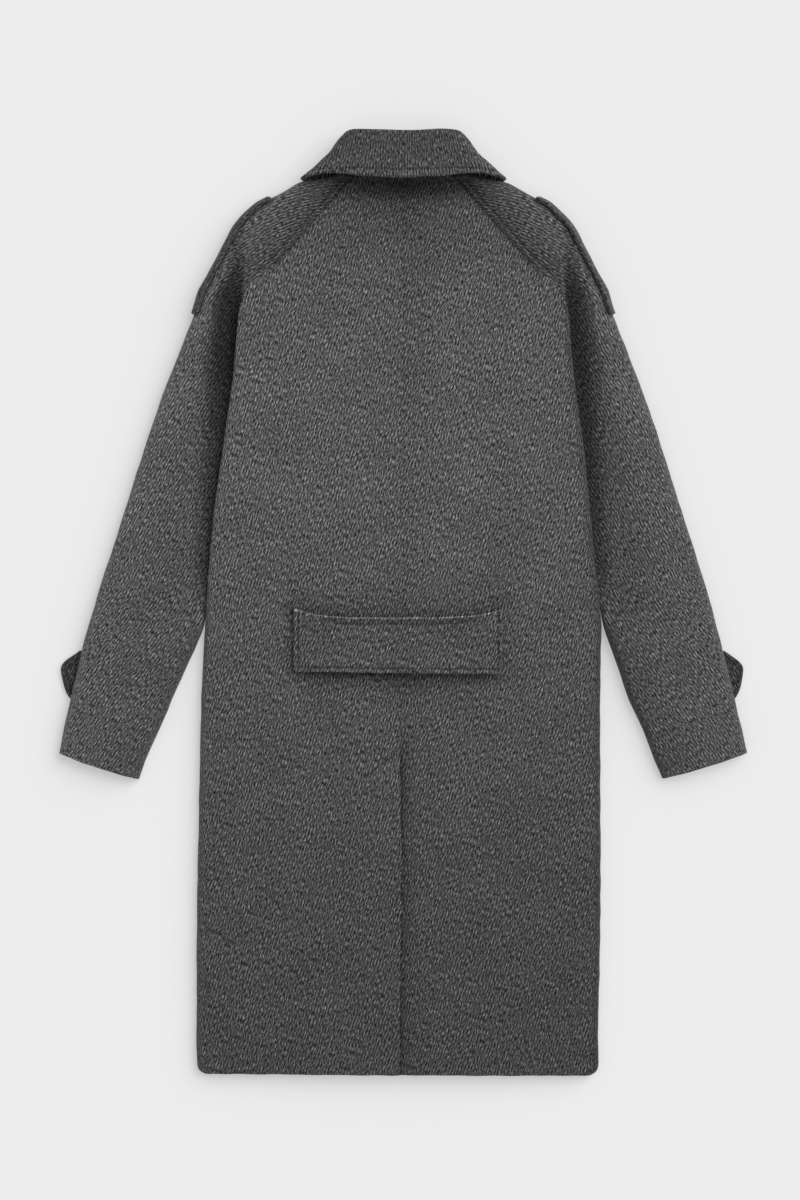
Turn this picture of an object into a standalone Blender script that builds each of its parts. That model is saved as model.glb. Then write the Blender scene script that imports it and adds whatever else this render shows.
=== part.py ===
"""Wool overcoat with raglan sleeves, laid face down so that its back shows.

Metres, +Z up. X runs across the coat, with the wearer's left at -X. Y runs from the hem (-Y) up to the
collar (+Y). The fronts lie on Z = 0. All sizes in the tables and constants below are millimetres.
"""
import math
from collections import namedtuple

import bmesh
import bpy
import numpy as np
from mathutils import Vector

MM = 0.001

# Cloth
WALL = 3.0               # thickness of the body and sleeve cloth
COLLAR_WALL = 4.5        # two layers of cloth, turned and pressed
STRAP_WALL = 4.0         # epaulettes and cuff tabs
BELT_WALL = 4.5
GAP = 0.4                # space between two sewn edges
WOOL_COLOUR = (0.075, 0.076, 0.080, 1.0)
WOOL_ROUGHNESS = 0.92

# Edges of the flattened body and sleeves
ROLL = 10.0              # how far in from an edge the cloth starts to turn down
ROLL_SHARE = 0.25        # the most of a narrow row that this turn may take
ROLL_ANGLES = (60.0, 32.0, 10.0, 0.0)
SEAM_OPEN = 0.65         # groove between the turned edge of a back piece and the front piece under it
SLEEVE_BROW = 0.72       # height of the sleeve where its edge starts to turn, as a share of its crown
SLEEVE_LIFT = 4.6        # how far the front of the sleeve lies above the floor, on its strap and cuff tab
LIFT_SHARE = 0.4         # share of the sleeve's width over which its front rises to that height
OUTER_EDGE = 8.2         # height of the sleeve's outer edge

# Centre back and vent
STRIP = 14.0             # width beside the centre seam that steps down to the underlap
STRIP_SLOPE = 7.0        # the part of that width in which the step is
STRIP_SHARES = (0.0, 0.45, 0.75)
VENT_TOP = -203.0
VENT_UNDERLAP = 40.0
VENT_SLOPE = 37.0        # length over which the underlap reaches its full width
VENT_LEAD = 50.0         # length above the vent over which the right side sinks under the left
VENT_DROP = 4.8          # how far the underlap lies below the left side's outer face

# Front closing and neck
OVERLAP = 35.0           # how far each front passes the centre
OVERLAP_RAMP = 33.0
OVERLAP_SHARE = 0.6      # the most of a narrow row that the overlap may take
NECK_TOP = 552.0
NECK_DROP = 97.0         # how much lower the neckline is at the centre front than at the raglan seam
NECK_FAN = 400.0         # height above which the front's rows bend down to the neckline
NECK_POWER = 1.2         # how sharply the neckline curves at the centre front

# Collar leaves under the fronts: a line along the leaf's outer edge, and the lift of the cloth on it
LEAF_POINT = (42.0, 418.0)
LEAF_TIP = (126.0, 534.0)
LEAF_LIFT = 5.6
LEAF_MARGIN = 14.0
LEAF_RAMP = 36.0
COLLAR_OUTWARD = (0.75, 0.66, 0.0)

# Half-belt
BELT_LEFT = -139.0
BELT_RIGHT = 125.0
BELT_TOP = -10.0         # at its ends
BELT_SAG = 10.0          # how much lower its top edge is in the middle
BELT_BOTTOM = -90.5
BELT_STAND_OFF = 3.5     # how far its lower edge stands off the back

# Points across each sheet of cloth, apart from those at turned edges
BACK_COLUMNS = 6
FRONT_COLUMNS = 4
SLEEVE_BACK_COLUMNS = 5
SLEEVE_FRONT_COLUMNS = 3
BELT_COLUMNS = 13
BELT_ROWS = 5
ARMHOLE_STEPS = 2

# Rows of the body from the hem to just below the armpit. edge is the height of the side seam.
Body = namedtuple("Body", "y reach lean crown brow edge")
BODY = (
    Body(-601.0, 244.0, -8.3, 20.0, 14.5, 3.6),
    Body(-598.0, 250.5, -8.3, 20.0, 14.5, 3.6),
    Body(-591.0, 254.0, -8.3, 20.0, 14.5, 3.6),
    Body(-470.0, 254.5, -7.2, 21.0, 15.0, 3.6),
    Body(-350.0, 255.0, -6.0, 22.0, 15.5, 3.6),
    Body(-245.0, 254.8, -5.0, 22.0, 15.5, 3.6),
    Body(-203.0, 254.5, -4.6, 22.0, 15.5, 3.6),
    Body(-150.0, 254.2, -4.0, 22.3, 16.0, 3.6),
    Body(-90.0, 253.5, -2.6, 22.5, 16.0, 3.6),
)

# Rows from the armpit to the neck, shared by the body and the sleeve: the seam between them at
# (reach, y, edge), and the sleeve's outer edge at (outer_x, outer_y).
Armhole = namedtuple("Armhole", "y reach crown brow edge outer_x outer_y sleeve_crown")
ARMHOLE = (
    Armhole(-31.0, 252.5, 22.5, 16.0, 5.0, 386.0, 10.0, 22.0),
    Armhole(47.0, 246.0, 22.5, 19.5, 11.5, 365.0, 80.0, 22.5),
    Armhole(193.0, 230.5, 23.0, 20.5, 12.0, 322.0, 213.0, 23.0),
    Armhole(307.0, 214.5, 24.0, 21.5, 12.5, 287.0, 311.0, 24.5),
    Armhole(387.0, 207.5, 24.0, 22.5, 19.0, 258.0, 384.0, 26.0),
    Armhole(420.0, 173.5, 24.3, 23.3, 22.6, 237.0, 430.0, 26.0),
    Armhole(486.0, 114.5, 24.5, 23.8, 23.4, 182.0, 501.0, 26.0),
    Armhole(552.0, 55.0, 24.0, 23.8, 23.6, 84.0, 545.0, 24.5),
)

# Rows of the sleeve below the armpit, down to the cuff
Sleeve = namedtuple("Sleeve", "inner_x inner_y outer_x outer_y crown edge valley")
FOREARM = (
    Sleeve(271.0, -74.0, 398.0, -33.0, 22.0, 3.6, 0.0),
    Sleeve(291.5, -125.0, 412.0, -86.0, 21.0, 3.6, 0.0),
    Sleeve(313.7, -175.6, 426.0, -143.0, 20.0, 3.6, 0.0),
    Sleeve(333.4, -223.8, 437.0, -191.0, 19.0, 3.6, 0.0),
)

# Half of the collar from the centre back round to the centre front, along the middle of its wall: the
# neck seam, the top of the stand, and the fall's outer edge. turn is how far the fold has turned over,
# from facing up at the back to facing down at the front, and fold the distance between its two layers.
Collar = namedtuple(
    "Collar", "turn fold neck_x neck_y neck_z roll_x roll_y roll_z edge_x edge_y edge_z")
COLLAR = (
    Collar(0.0, 8.0, 0.0, 552.7, 22.0, 0.0, 594.0, 22.0, 0.0, 540.0, 32.5),
    Collar(0.0, 8.0, 50.0, 552.7, 22.0, 46.0, 594.5, 22.0, 66.0, 543.0, 32.5),
    Collar(25.0, 8.0, 74.0, 552.5, 21.0, 60.0, 594.0, 21.0, 108.0, 542.0, 31.0),
    Collar(60.0, 7.5, 85.0, 551.5, 17.5, 66.5, 592.5, 17.5, 122.0, 539.0, 25.0),
    Collar(90.0, 7.0, 88.0, 549.5, 12.5, 68.0, 590.0, 13.0, 126.5, 536.0, 14.5),
    Collar(125.0, 6.0, 84.0, 549.5, 8.8, 63.0, 583.0, 9.0, 126.5, 534.5, 4.6),
    Collar(180.0, 5.0, 56.0, 554.0, 7.5, 50.0, 577.0, 7.5, 110.0, 520.0, 2.5),
    Collar(180.0, 5.0, 36.0, 528.5, 7.5, 28.0, 551.0, 7.5, 84.0, 480.0, 2.5),
    Collar(180.0, 5.0, 17.0, 493.0, 7.5, 13.0, 519.0, 7.5, 62.0, 447.0, 2.5),
    Collar(180.0, 5.0, 2.5, 463.0, 7.5, 2.5, 487.0, 7.5, 42.0, 418.0, 2.5),
)
COLLAR_STEPS = 2
FOLD_ANGLES = (45.0, 90.0, 135.0)
FALL_SHARES = (0.5, 1.0)

# Epaulettes: rows of the armhole table that they run between, and their reach round the shoulder edge
EPAULETTE_FROM = 6.12
EPAULETTE_TO = 3.72
EPAULETTE_RUN = 26.0     # flat width under the front of the sleeve
EPAULETTE_CORNER = ((1.0, 0.0), (0.8, 0.8), (0.0, 1.0))
EPAULETTE_AIM = 0.5      # rows ahead and behind that give the direction of the shoulder edge

# Outline of the cuff tab: its tip, and its root under the sleeve
CUFF_TAB = (
    (408.0, -62.0), (424.8, -74.0), (431.5, -80.5), (433.4, -87.0), (428.6, -112.0), (423.0, -123.5),
    (366.0, -142.0), (351.0, -80.5),
)


def ease(share):
    """A soft step from 0 to 1."""
    share = min(max(share, 0.0), 1.0)
    return share * share * (3.0 - 2.0 * share)


def smooth(rows, steps):
    """Rows of a table with more rows between them, on a smooth curve through them."""
    kind = type(rows[0])
    knots = np.array(rows)
    last = len(knots) - 1
    result = []
    for index in range(last):
        before = knots[max(index - 1, 0)]
        here = knots[index]
        there = knots[index + 1]
        after = knots[min(index + 2, last)]
        for step in range(steps):
            t = step / steps
            value = 0.5 * (2.0 * here + (there - before) * t
                           + (2.0 * before - 5.0 * here + 4.0 * there - after) * t * t
                           + (3.0 * here - before - 3.0 * there + after) * t ** 3)
            result.append(kind(*value))
    result.append(rows[-1])
    return result


def between(rows, position):
    """A row of a table at a fractional index."""
    index = min(int(position), len(rows) - 2)
    share = position - index
    values = [a + (b - a) * share for a, b in zip(rows[index], rows[index + 1])]
    return type(rows[0])(*values)


def turned_edge(distance, roll):
    """Share of an edge's height at a distance in from the edge, on a quarter of an ellipse."""
    inward = 1.0 - min(distance / roll, 1.0)
    return math.sqrt(1.0 - inward * inward)


def rise(distance, roll, span, edge, brow, crown):
    """Height of cloth that turns up from its edge and then arches gently to its crown."""
    if distance < roll:
        return edge + (brow - edge) * turned_edge(distance, roll)
    share = min((distance - roll) / (span - roll), 1.0)
    return brow + (crown - brow) * share * (2.0 - share)


def edge_distances(roll):
    """Distances in from a turned edge, close together where the cloth turns."""
    return [roll * (1.0 - math.cos(math.radians(angle))) for angle in ROLL_ANGLES]


def leaf_lift(x, y):
    """How far the fronts are raised by the collar's leaves, which lie under them."""
    along_x = LEAF_TIP[0] - LEAF_POINT[0]
    along_y = LEAF_TIP[1] - LEAF_POINT[1]
    length = math.hypot(along_x, along_y)
    beside = max(abs(x) - LEAF_POINT[0], 0.0)
    outside = (beside * along_y - (y - LEAF_POINT[1]) * along_x) / length
    return LEAF_LIFT * ease(1.0 - (outside - LEAF_MARGIN) / LEAF_RAMP)


def add_object(name, mesh):
    """One named piece of the coat with the wool material, in the coat's collection."""
    mesh.materials.append(bpy.data.materials["charcoal_wool"])
    piece = bpy.data.objects.new(name, mesh)
    bpy.data.collections["wool_overcoat"].objects.link(piece)
    return piece


def cloth(name, points, wall, offset, faces_up):
    """A sheet of cloth through a grid of points (rows of columns), with a wall of even thickness."""
    columns = len(points[0]) - 1
    rows = len(points) - 1
    sheet = bmesh.new()
    bmesh.ops.create_grid(sheet, x_segments=columns, y_segments=rows, size=1.0)
    for vert in sheet.verts:
        column = round((vert.co.x + 1.0) / 2.0 * columns)
        row = round((vert.co.y + 1.0) / 2.0 * rows)
        vert.co = Vector(points[row][column]) * MM
    sheet.normal_update()
    upward = sum(face.normal.z * face.calc_area() for face in sheet.faces)
    if (upward > 0.0) != faces_up:
        bmesh.ops.reverse_faces(sheet, faces=sheet.faces)
    mesh = bpy.data.meshes.new(name)
    sheet.to_mesh(mesh)
    sheet.free()
    mesh.shade_smooth()
    piece = add_object(name, mesh)
    thickness = piece.modifiers.new("Wall", "SOLIDIFY")
    thickness.thickness = wall * MM
    thickness.offset = offset
    thickness.use_quality_normals = True
    return piece


def body_rows():
    """Rows of the body from the hem to the neck."""
    upper = [Body(row.y, row.reach, 0.0, row.crown, row.brow, row.edge)
             for row in smooth(ARMHOLE, ARMHOLE_STEPS)]
    return list(BODY) + upper


def upper_sleeve(row):
    """The sleeve's part of a row that it shares with the body."""
    return Sleeve(row.reach, row.y, row.outer_x, row.outer_y, row.sleeve_crown, row.edge, 1.0)


def sleeve_rows():
    """Rows of a sleeve from the neck to the cuff."""
    upper = [upper_sleeve(row) for row in reversed(smooth(ARMHOLE, ARMHOLE_STEPS))]
    armpit = upper[-1]._replace(valley=0.0)
    lower = smooth([armpit] + list(FOREARM), ARMHOLE_STEPS)
    return upper[:-1] + lower


def back_height(row, offset):
    """Height of the outside of the back at a distance from its centre line."""
    roll = min(ROLL, row.reach * ROLL_SHARE)
    return rise(row.reach - abs(offset), roll, row.reach, row.edge, row.brow, row.crown)


def back_panel(name, side):
    """Half of the back: the right half has the vent's underlap, and the left half lies over it."""
    points = []
    for row in body_rows():
        inner = GAP / 2.0
        drop = 0.0
        if side > 0:
            inner -= (VENT_UNDERLAP + inner) * ease((VENT_TOP - row.y) / VENT_SLOPE)
            drop = VENT_DROP * ease((VENT_TOP + VENT_LEAD - row.y) / VENT_LEAD)
        roll = min(ROLL, row.reach * ROLL_SHARE)
        offsets = [inner + share * (STRIP - inner) for share in STRIP_SHARES]
        offsets += list(np.linspace(STRIP, row.reach - roll, BACK_COLUMNS))
        offsets += [row.reach - distance for distance in edge_distances(roll)]
        line = []
        for offset in offsets:
            height = back_height(row, offset) - drop * ease((STRIP - offset) / STRIP_SLOPE)
            near_edge = ease(1.0 - (row.reach - offset) / roll)
            line.append((row.lean + side * (offset - near_edge * GAP / 2.0), row.y,
                         height + near_edge * SEAM_OPEN))
        points.append(line)
    cloth(name, points, WALL, -1.0, True)


def front_panel(name, side):
    """Half of the front, flat on the floor. The right front laps inside the left one."""
    points = []
    for row in body_rows():
        roll = min(ROLL, row.reach * ROLL_SHARE)
        dip = NECK_DROP * ease((row.y - NECK_FAN) / (NECK_TOP - NECK_FAN))
        lap = min(OVERLAP, row.reach * OVERLAP_SHARE)
        offsets = [-lap, 0.0]
        offsets += list(np.linspace(lap, row.reach - roll, FRONT_COLUMNS))
        offsets += [row.reach - distance for distance in edge_distances(roll)]
        line = []
        for offset in offsets:
            near_edge = ease(1.0 - (row.reach - offset) / roll)
            x = row.lean + side * (offset - near_edge * GAP / 2.0)
            y = row.y - dip * max(0.0, 1.0 - abs(offset) / row.reach) ** NECK_POWER
            height = leaf_lift(x, y)
            if side > 0:
                height += (WALL + GAP) * ease((OVERLAP + OVERLAP_RAMP - offset) / OVERLAP_RAMP)
            line.append((x, y, height))
        points.append(line)
    cloth(name, points, WALL, -1.0, False)


class SleeveRow:
    """One row across a sleeve, from its inner edge or armhole seam to its outer edge."""

    def __init__(self, row, side):
        self.row = row
        self.side = side
        span = Vector((row.outer_x - row.inner_x, row.outer_y - row.inner_y))
        self.across = span.normalized()
        self.inner = Vector((row.inner_x, row.inner_y)) + self.across * GAP / 2.0
        self.width = span.length - GAP / 2.0
        self.roll = min(ROLL, self.width * ROLL_SHARE)

    def distances(self, columns):
        """Places across the row, close together at both edges."""
        turn = edge_distances(self.roll)
        flat = list(np.linspace(self.roll, self.width - self.roll, columns))
        return turn[::-1] + flat + [self.width - distance for distance in turn]

    def plan(self, distance):
        """X and Y at a distance from the inner edge."""
        place = self.inner + self.across * distance
        return self.side * place.x, place.y

    def brow(self, edge):
        return edge + SLEEVE_BROW * (self.row.crown - edge)

    def back_height(self, distance):
        """Height of the outside of the sleeve's back."""
        row = self.row
        half = self.width / 2.0
        if distance > half:
            edge = OUTER_EDGE + SEAM_OPEN
            return rise(self.width - distance, self.roll, half, edge, self.brow(edge), row.crown)
        edge = row.edge + SEAM_OPEN
        valley = edge + (row.crown - edge) * ease(distance / half)
        turned = rise(distance, self.roll, half, edge, self.brow(edge), row.crown)
        return turned + (valley - turned) * row.valley

    def front_height(self, distance):
        """Height of the underside of the sleeve's front, which lies on its strap and cuff tab."""
        x, y = self.plan(distance)
        return max(leaf_lift(x, y), SLEEVE_LIFT * ease(distance / (LIFT_SHARE * self.width)))


def sleeve_panel(name, side, is_back):
    """The back or front half of a sleeve."""
    points = []
    for row in sleeve_rows():
        section = SleeveRow(row, side)
        height = section.back_height if is_back else section.front_height
        columns = SLEEVE_BACK_COLUMNS if is_back else SLEEVE_FRONT_COLUMNS
        line = []
        for distance in section.distances(columns):
            line.append((*section.plan(distance), height(distance)))
        points.append(line)
    cloth(name, points, WALL, -1.0, is_back)


def collar_line(row, side):
    """The collar's wall at one place: up the stand, round the fold and down the fall."""
    neck = Vector((row.neck_x, row.neck_y, row.neck_z))
    roll = Vector((row.roll_x, row.roll_y, row.roll_z))
    edge = Vector((row.edge_x, row.edge_y, row.edge_z))
    turn = math.radians(row.turn)
    outward = Vector(COLLAR_OUTWARD).normalized() * math.sin(turn) + Vector((0.0, 0.0, math.cos(turn)))
    upward = roll - neck
    upward = (upward - outward * upward.dot(outward)).normalized()
    line = [neck, roll]
    for angle in FOLD_ANGLES:
        swing = math.radians(angle)
        line.append(roll + outward * row.fold / 2.0 * (1.0 - math.cos(swing))
                    + upward * row.fold / 2.0 * math.sin(swing))
    fall = roll + outward * row.fold
    line.append(fall)
    line += [fall.lerp(edge, share) for share in FALL_SHARES]
    return [(side * point.x, point.y, point.z) for point in line]


def collar():
    """The collar, one folded sheet round the neck from one front end to the other."""
    half = smooth(COLLAR, COLLAR_STEPS)
    left = [collar_line(row, -1.0) for row in reversed(half)]
    right = [collar_line(row, 1.0) for row in half[1:]]
    cloth("collar", left + right, COLLAR_WALL, 0.0, True)


def epaulette(name, side):
    """A strap along the shoulder edge, made from the sleeve's own rows moved out."""
    rows = smooth(ARMHOLE, ARMHOLE_STEPS)
    start = EPAULETTE_FROM * ARMHOLE_STEPS
    end = EPAULETTE_TO * ARMHOLE_STEPS
    inside = list(range(math.floor(start), math.ceil(end) - 1, -1))
    lift = GAP + STRAP_WALL / 2.0
    points = []
    for position in [start] + inside + [end]:
        row = between(rows, position)
        ahead = between(rows, min(position, start) + EPAULETTE_AIM)
        behind = between(rows, max(position, end) - EPAULETTE_AIM)
        outward = Vector((behind.outer_y - ahead.outer_y, ahead.outer_x - behind.outer_x)).normalized()
        if outward.x < 0.0:
            outward.negate()
        section = SleeveRow(upper_sleeve(row), side)
        edge = OUTER_EDGE + SEAM_OPEN
        height = section.brow(edge) - edge
        line = []
        for angle in ROLL_ANGLES:
            swing = math.radians(angle)
            normal = Vector((math.cos(swing) / section.roll, math.sin(swing) / height))
            normal = normal.normalized() * lift
            x, y = section.plan(section.width - section.roll * (1.0 - math.cos(swing)))
            line.append((x + side * outward.x * normal.x, y + outward.y * normal.x,
                         edge + height * math.sin(swing) + normal.y))
        x, y = section.plan(section.width)
        for out, down in EPAULETTE_CORNER:
            line.append((x + side * outward.x * lift * out, y + outward.y * lift * out,
                         SLEEVE_LIFT - lift * down))
        line.append((*section.plan(section.width - EPAULETTE_RUN), SLEEVE_LIFT - lift))
        points.append(line)
    cloth(name, points, STRAP_WALL, 0.0, True)


def cuff_tab(name, side):
    """A flat tab under the front of the sleeve, with its tip past the sleeve's outer edge."""
    outline = bpy.data.curves.new(name, "CURVE")
    outline.dimensions = "2D"
    outline.fill_mode = "BOTH"
    outline.extrude = STRAP_WALL / 2.0 * MM
    spline = outline.splines.new("POLY")
    spline.points.add(len(CUFF_TAB) - 1)
    for point, (x, y) in zip(spline.points, CUFF_TAB):
        point.co = (side * x * MM, y * MM, 0.0, 1.0)
    spline.use_cyclic_u = True
    outline.materials.append(bpy.data.materials["charcoal_wool"])
    piece = bpy.data.objects.new(name, outline)
    piece.location.z = STRAP_WALL / 2.0 * MM
    bpy.data.collections["wool_overcoat"].objects.link(piece)


def half_belt():
    """The half-belt, made from the back's own heights moved out. Its lower edge stands off."""
    rows = body_rows()
    heights = [row.y for row in rows]
    points = []
    for share in np.linspace(0.0, 1.0, BELT_ROWS):
        line = []
        for across in np.linspace(-1.0, 1.0, BELT_COLUMNS):
            x = (BELT_LEFT + BELT_RIGHT + across * (BELT_RIGHT - BELT_LEFT)) / 2.0
            top = BELT_TOP - BELT_SAG * (1.0 - across * across)
            y = BELT_BOTTOM + (top - BELT_BOTTOM) * share
            row = between(rows, float(np.interp(y, heights, range(len(rows)))))
            stand_off = BELT_STAND_OFF * (1.0 - share) ** 2 * (1.0 - across ** 4)
            line.append((x, y, back_height(row, x - row.lean) + GAP + stand_off))
        points.append(line)
    cloth("half_belt", points, BELT_WALL, 1.0, True)


def start_scene():
    """An empty scene with the coat's collection and its wool."""
    for existing in list(bpy.data.objects):
        bpy.data.objects.remove(existing, do_unlink=True)
    collection = bpy.data.collections.new("wool_overcoat")
    bpy.context.scene.collection.children.link(collection)
    wool = bpy.data.materials.new("charcoal_wool")
    wool.use_nodes = True
    shader = wool.node_tree.nodes["Principled BSDF"]
    shader.inputs["Base Color"].default_value = WOOL_COLOUR
    shader.inputs["Roughness"].default_value = WOOL_ROUGHNESS
    shader.inputs["Metallic"].default_value = 0.0


def build_coat():
    """All pieces of the coat."""
    start_scene()
    for side, word in ((-1.0, "left"), (1.0, "right")):
        back_panel("back_" + word, side)
        front_panel("front_" + word, side)
        sleeve_panel("sleeve_back_" + word, side, True)
        sleeve_panel("sleeve_front_" + word, side, False)
        epaulette("epaulette_" + word, side)
        cuff_tab("cuff_tab_" + word, side)
    collar()
    half_belt()


build_coat()
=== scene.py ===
# %% [markdown]
# # A brushed-wool overcoat, laid face down
#
# The coat lies on its fronts with its back up: two back panels with a vent, raglan sleeves, a turned-down
# collar, a half-belt, shoulder straps and cuff tabs. The frame holds each of these as a plain solid at its
# real size and place. This lesson gives each solid a finer cloth skin on the same form, sews it and covers
# it with wool. We load the frame first.

# %% Load the frame
import math
from collections import namedtuple

import bmesh
import bpy
import numpy as np
from mathutils import Matrix, Vector, noise
from mathutils.bvhtree import BVHTree


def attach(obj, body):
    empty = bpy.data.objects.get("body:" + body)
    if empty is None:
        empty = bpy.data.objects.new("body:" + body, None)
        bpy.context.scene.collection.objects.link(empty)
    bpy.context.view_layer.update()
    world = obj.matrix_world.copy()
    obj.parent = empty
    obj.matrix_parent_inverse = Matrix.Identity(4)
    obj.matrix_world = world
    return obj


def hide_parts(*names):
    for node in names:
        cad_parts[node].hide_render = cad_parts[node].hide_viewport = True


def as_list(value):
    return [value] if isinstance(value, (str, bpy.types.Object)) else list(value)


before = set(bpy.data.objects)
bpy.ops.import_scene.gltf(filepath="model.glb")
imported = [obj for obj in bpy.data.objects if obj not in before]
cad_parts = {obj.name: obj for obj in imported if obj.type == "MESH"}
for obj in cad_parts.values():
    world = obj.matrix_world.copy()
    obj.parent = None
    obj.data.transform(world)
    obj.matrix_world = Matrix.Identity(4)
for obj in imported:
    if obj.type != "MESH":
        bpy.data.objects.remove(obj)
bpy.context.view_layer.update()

MM = 0.001
SIDES = {"left": -1.0, "right": 1.0}
print("nodes:", ", ".join(sorted(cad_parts)))

# %% [markdown]
# ## Camera
#
# The photograph looks straight down on the coat from far away, so its edges don't lean. A long lens high
# above does the same. Blender applies the sensor's width to the longer side of the picture, which is its
# height here, so the camera's height follows from what one pixel of the photograph covers on the cloth.

# %% Camera straight above the coat
FRAME_WIDTH = 800
FRAME_HEIGHT = 1200
PIXEL = 1.27 * MM
CENTRE_COLUMN = 403.5  # the pixel column and row that lie over the coat's origin
CENTRE_ROW = 601.75
LENS = 100.0
SENSOR = 36.0
COAT_LEVEL = 14.0 * MM  # the height of the coat's outline, where the scale holds


def add_object(name, data):
    """A new object at the scene's origin."""
    made = bpy.data.objects.new(name, data)
    bpy.context.scene.collection.objects.link(made)
    return made


camera = add_object("camera", bpy.data.cameras.new("camera"))
camera.data.lens = LENS
camera.data.sensor_width = SENSOR
camera.location = ((FRAME_WIDTH / 2 - CENTRE_COLUMN) * PIXEL, (CENTRE_ROW - FRAME_HEIGHT / 2) * PIXEL,
                   FRAME_HEIGHT * PIXEL * LENS / SENSOR + COAT_LEVEL)
bpy.context.scene.camera = camera
print("camera height %.2f m" % camera.location.z)

# %% [markdown]
# ## Shader sums
#
# Wool is built from several noises that are added, scaled and blended. Placing Math nodes by hand hides
# what they do, so a small class wraps a node's socket and lets Python's own operators add the nodes. Its
# `node` method makes any other node: first its settings, such as a ramp's stops, then the values or links
# of its sockets.

# %% A socket that takes part in sums
class Wire:
    """A socket in a material's node tree."""

    def __init__(self, tree, socket=None):
        self.tree = tree
        self.socket = socket

    def node(self, kind, settings, sockets, output=0):
        """Any node, with its settings made before its sockets are filled."""
        made = self.tree.nodes.new(kind)
        for name, value in settings.items():
            if name == "stops":
                self.set_stops(made.color_ramp, value)
            else:
                setattr(made, name, value)
        self.fill(made, sockets)
        return Wire(self.tree, made.outputs[output])

    def fill(self, node, sockets):
        """Gives a node's sockets their links or values."""
        for name, value in sockets.items():
            if isinstance(value, Wire):
                self.tree.links.new(value.socket, node.inputs[name])
            else:
                node.inputs[name].default_value = value

    @staticmethod
    def set_stops(ramp, stops):
        """Stops of a colour ramp, as (place, grey)."""
        while len(ramp.elements) < len(stops):
            ramp.elements.new(1.0)
        for element, (place, grey) in zip(ramp.elements, stops):
            element.position = place
            element.color = (grey, grey, grey, 1.0)

    def math(self, operation, *values):
        """A Math node on wires and numbers."""
        return self.node("ShaderNodeMath", {"operation": operation}, dict(enumerate(values)))

    def __add__(self, other):
        return self.math("ADD", self, other)

    __radd__ = __add__

    def __mul__(self, other):
        return self.math("MULTIPLY", self, other)

    __rmul__ = __mul__

    def __sub__(self, other):
        return self.math("SUBTRACT", self, other)

    def __rsub__(self, other):
        return self.math("SUBTRACT", other, self)


print("sums ready")

# %% A new finish
def new_finish(name):
    """A new material, its shader and a start for its sums."""
    material = bpy.data.materials.new(name)
    material.use_nodes = True
    tree = material.node_tree
    return material, tree.nodes["Principled BSDF"], Wire(tree)


print("finishes ready")

# %% [markdown]
# ## Wool
#
# The cloth is a twill whose nap has been raised and brushed: short light hairs lie over a dark ground, in
# dashes along its fine diagonal ribs. A sine across the grain gives the ribs. A noise, squeezed across the
# grain and drawn out along it, gives the dashes, and a finer one single hairs. A slow noise sways all of
# them, so that nothing looks ruled. The same sum drives colour and bump, because a hair that stands up
# also catches the light.
#
# Each piece carries three attributes for this. `grain` holds distances along and across its nap, and
# `tone` scales its colour, mostly with painted light and shade. `sewn` holds distances from a seam, from a
# row of stitches and from a welt. Distances change evenly from point to point, so the shader can draw a line
# from them that is far thinner than the mesh's faces: dark where thread pulls the cloth in, and a painted
# highlight where an edge stands up.

# %% Sizes and shares of the wool
DASH_LONG = 5.4 * MM
DASH_WIDE = 1.35 * MM
HAIR_LONG = 3.0 * MM
HAIR_WIDE = 0.8 * MM
RIB_PITCH = 3.8 * MM
RIB_SWAY = 5.0  # how far the ribs wander, as an angle of their sine
SWAY_SIZE = 17.0 * MM  # size of the patches in which the nap sways together
SWAY = 1.3 * MM
CLOUD_SIZE = 60.0 * MM  # size of the soft patches where the nap lies lighter or darker
NOISE_MEAN = 0.5
HAIR_DETAIL = 0.6
SWAY_DETAIL = 1.0
CLOUD_DETAIL = 2.0
DASH_SHARE = 0.62
HAIR_SHARE = 0.38
RIB_SHARE = 0.05
CLOUD_SHARE = 0.05
WOOL_STOPS = ((0.313, 0.008), (0.415, 0.034), (0.50, 0.086), (0.585, 0.17), (0.72, 0.42))
ROUGH_GROUND = 1.05
ROUGH_HAIRS = 0.3  # how much smoother the tips of the hairs are
SPECULAR = 0.15
SHEEN = 0.16
SHEEN_ROUGHNESS = 0.4
BUMP_STRENGTH = 0.45
BUMP_HEIGHT = 0.8 * MM
SEAM_LINE = 1.6 * MM  # half-widths of the drawn lines
STITCH_LINE = 1.3 * MM
WELT_LINE = 1.5 * MM
SEAM_DARK = 0.40
STITCH_DARK = 0.43
# painted highlight along the welts
WELT_PAINTED_HIGHLIGHT = 1.3
print("wool dashes %.1f x %.1f mm, ribs %.1f mm apart" % (DASH_LONG / MM, DASH_WIDE / MM, RIB_PITCH / MM))

# %% The wool's shader
def soft_noise(grain, size, detail):
    """Noise with patches of a size."""
    return grain.node("ShaderNodeTexNoise", {}, {"Vector": grain, "Scale": 1 / size, "Detail": detail})


def stretched_noise(grain, long, wide):
    """Noise drawn out along the first axis of the grain."""
    scaled = grain.node("ShaderNodeMapping", {"vector_type": "POINT"},
                        {"Vector": grain, "Scale": (1 / long, 1 / wide, 1 / wide)})
    return soft_noise(scaled, 1.0, HAIR_DETAIL)


def line_at(distance, width):
    """1 on a line and 0 away from it, from the distance to the line."""
    return distance.math("EXPONENT", distance * distance * (-1 / width ** 2))


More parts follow.
